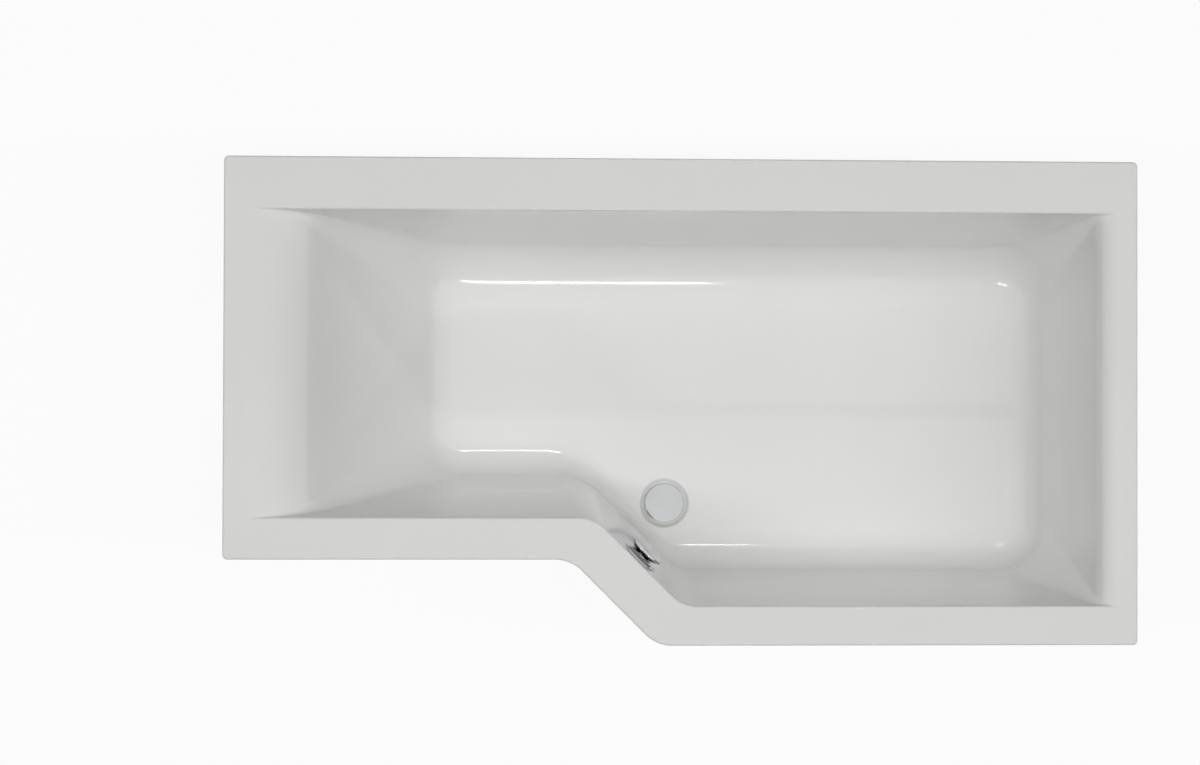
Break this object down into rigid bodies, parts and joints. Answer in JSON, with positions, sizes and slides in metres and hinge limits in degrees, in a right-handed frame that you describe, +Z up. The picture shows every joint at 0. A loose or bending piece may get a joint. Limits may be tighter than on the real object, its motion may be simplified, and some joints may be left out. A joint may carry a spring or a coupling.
{
  "type": "l-shaped shower bath",
  "caption": "White acrylic L-shaped shower bath on steel rails and levelling feet, with a pop-up waste worked by a turning overflow knob.",
  "frame": {"origin": "on the floor, under the centre of the bath's outline", "axes": "+X along the bath to the wide shower end, +Y to the wall, +Z up"},
  "size_m": [1.6, 0.85, 0.55],
  "materials": {
    "white_acrylic": "polished acrylic, glass-fibre backed underneath",
    "chipboard": "raw chipboard",
    "timber": "planed softwood",
    "galvanised_steel": "galvanised",
    "plated_steel": "bright zinc plate",
    "black_plastic": "moulded",
    "chrome": "polished chrome plate",
    "rubber": "moulded",
    "white_plastic": "moulded",
    "stainless_steel": "ground",
    "brass": "turned",
    "grey_hose": "extruded, corrugated",
    "black_sheath": "extruded"
  },
  "bodies": {
    "bath": {"bath_shell": "white_acrylic", "baseboard": "chipboard", "rim_batten_wall": "timber", "rim_batten_narrow_front": "timber", "rim_batten_wide_front": "timber", "leg_rail_head": "galvanised_steel", "leg_rail_centre": "galvanised_steel", "leg_rail_shower": "galvanised_steel", "leg_lock_nuts": "plated_steel", "wall_bracket_head": "galvanised_steel", "wall_bracket_shower": "galvanised_steel", "waste_flange": "chrome", "flange_seal": "rubber", "waste_seal": "rubber", "waste_body": "white_plastic", "lever_pin": "stainless_steel", "overflow_rosette": "chrome", "overflow_gasket": "rubber", "overflow_body": "white_plastic", "overflow_hose": "grey_hose", "hose_nut_upper": "white_plastic", "hose_nut_lower": "white_plastic", "control_cable": "black_sheath"},
    "control_knob": {"overflow_knob": "chrome", "knob_spindle": "brass", "cable_drum": "white_plastic"},
    "plug": {"plug_cap": "chrome", "plug_seal": "rubber", "plug_stem": "stainless_steel"},
    "plug_lever": {"lift_lever": "stainless_steel"},
    "foot_1": {"foot_stud_1": "plated_steel", "foot_pad_1": "black_plastic"},
    "foot_2": {"foot_stud_2": "plated_steel", "foot_pad_2": "black_plastic"},
    "foot_3": {"foot_stud_3": "plated_steel", "foot_pad_3": "black_plastic"},
    "foot_4": {"foot_stud_4": "plated_steel", "foot_pad_4": "black_plastic"},
    "foot_5": {"foot_stud_5": "plated_steel", "foot_pad_5": "black_plastic"},
    "foot_6": {"foot_stud_6": "plated_steel", "foot_pad_6": "black_plastic"}
  },
  "joints": [
    {"name": "knob_turn", "type": "hinge", "parent": "bath", "child": "control_knob", "pos_m": [-0.074, -0.27392, 0.488], "axis": [-0.7024, -0.7024, -0.1149], "range_deg": [0, 90]},
    {"name": "plug_lift", "type": "slide", "parent": "bath", "child": "plug", "axis": [0, 0, 1], "range_m": [0, 0.008]},
    {"name": "lever_tip", "type": "hinge", "parent": "bath", "child": "plug_lever", "pos_m": [-0.00477, -0.20795, 0.096], "axis": [0.997, 0.0768, 0], "range_deg": [0, 25]},
    {"name": "foot_1_level", "type": "slide", "parent": "bath", "child": "foot_1", "axis": [0, 0, 1], "range_m": [-0.02, 0.012]},
    {"name": "foot_2_level", "type": "slide", "parent": "bath", "child": "foot_2", "axis": [0, 0, 1], "range_m": [-0.02, 0.012]},
    {"name": "foot_3_level", "type": "slide", "parent": "bath", "child": "foot_3", "axis": [0, 0, 1], "range_m": [-0.02, 0.012]},
    {"name": "foot_4_level", "type": "slide", "parent": "bath", "child": "foot_4", "axis": [0, 0, 1], "range_m": [-0.02, 0.012]},
    {"name": "foot_5_level", "type": "slide", "parent": "bath", "child": "foot_5", "axis": [0, 0, 1], "range_m": [-0.02, 0.012]},
    {"name": "foot_6_level", "type": "slide", "parent": "bath", "child": "foot_6", "axis": [0, 0, 1], "range_m": [-0.02, 0.012]}
  ],
  "couplings": [
    {"joint": "plug_lift", "follows": "knob_turn", "m_per_rad": 0.00509},
    {"joint": "lever_tip", "follows": "knob_turn", "ratio": 0.2777}
  ]
}
